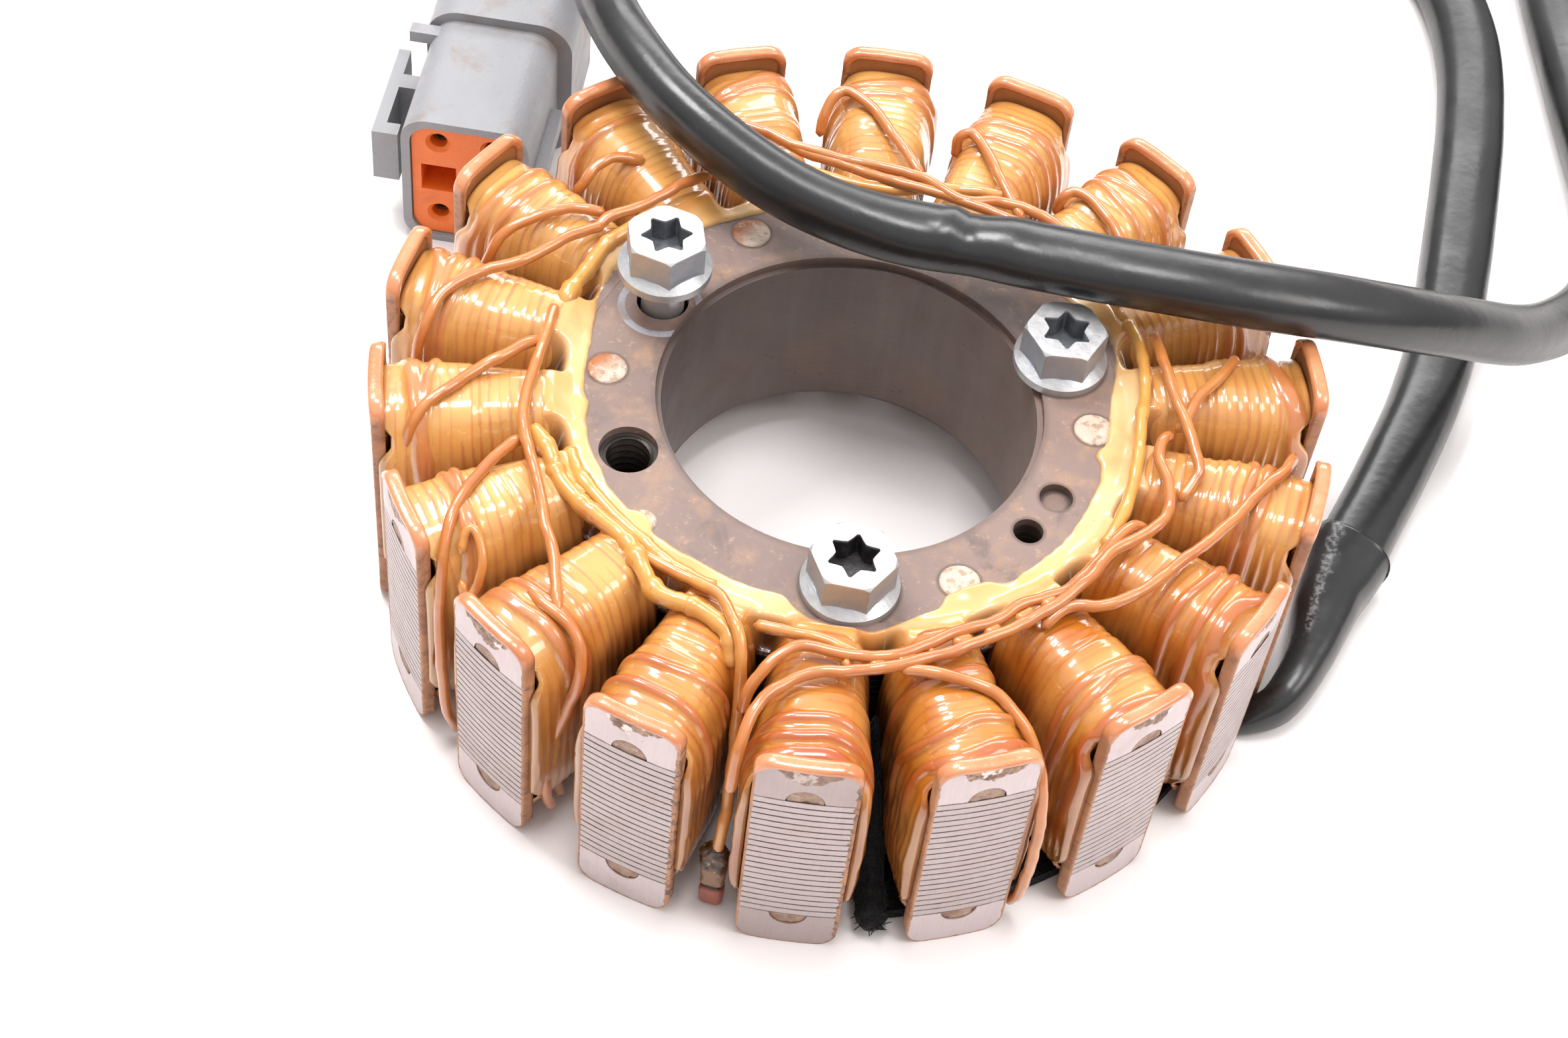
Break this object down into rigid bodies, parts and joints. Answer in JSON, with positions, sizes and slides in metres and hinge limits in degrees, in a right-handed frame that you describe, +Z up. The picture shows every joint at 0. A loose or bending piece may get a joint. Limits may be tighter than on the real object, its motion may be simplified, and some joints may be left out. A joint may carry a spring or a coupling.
{
  "type": "wound stator",
  "caption": "Multi-pole alternator stator: laminated core with varnished copper coils, flange bolts and a sheathed lead ending in a sealed connector",
  "frame": {"origin": "on the surface the core stands on, below the axis of the central bore", "axes": "+Z up along the axis of the central bore; -Y towards the pole opposite the lead's far end"},
  "size_m": [0.2266, 0.3493, 0.0521],
  "materials": {
    "core_steel": "ground on the pole faces, with lamination edges showing; dull brown in the bore",
    "coated_steel": "thin brown-pink coating, worn off the ground pole faces",
    "rivet_steel": "matt with rust",
    "varnished_wire": "enamelled wire soaked in amber varnish, glossy",
    "zinc_steel": "bright zinc",
    "woven_sleeve": "woven black sleeving",
    "black_sheath": "soft black, satin",
    "wire_insulation": "satin",
    "grey_plastic": "moulded, lightly soiled",
    "orange_plastic": "moulded",
    "contact_metal": "plated",
    "seal_rubber": "soft"
  },
  "bodies": {
    "root": {"cable_sheath": "black_sheath", "coil_01": "varnished_wire", "coil_02": "varnished_wire", "coil_03": "varnished_wire", "coil_04": "varnished_wire", "coil_05": "varnished_wire", "coil_06": "varnished_wire", "coil_07": "varnished_wire", "coil_08": "varnished_wire", "coil_09": "varnished_wire", "coil_10": "varnished_wire", "coil_11": "varnished_wire", "coil_12": "varnished_wire", "coil_13": "varnished_wire", "coil_14": "varnished_wire", "coil_15": "varnished_wire", "coil_16": "varnished_wire", "coil_17": "varnished_wire", "coil_18": "varnished_wire", "connector_housing": "grey_plastic", "contact_sockets": "contact_metal", "core_rivets": "rivet_steel", "end_plate_bottom": "coated_steel", "end_plate_top": "coated_steel", "flange_bolt_1": "zinc_steel", "flange_bolt_2": "zinc_steel", "flange_bolt_3": "zinc_steel", "lamination_stack": "core_steel", "lead_sleeve": "woven_sleeve", "lead_wires": "wire_insulation", "outer_sleeve": "black_sheath", "phase_a_crossover": "varnished_wire", "phase_b_crossover": "varnished_wire", "phase_c_crossover": "varnished_wire", "rear_seal": "seal_rubber", "sealing_plug": "seal_rubber", "wedge_lock": "orange_plastic", "winding_splice": "varnished_wire"}
  },
  "joints": []
}
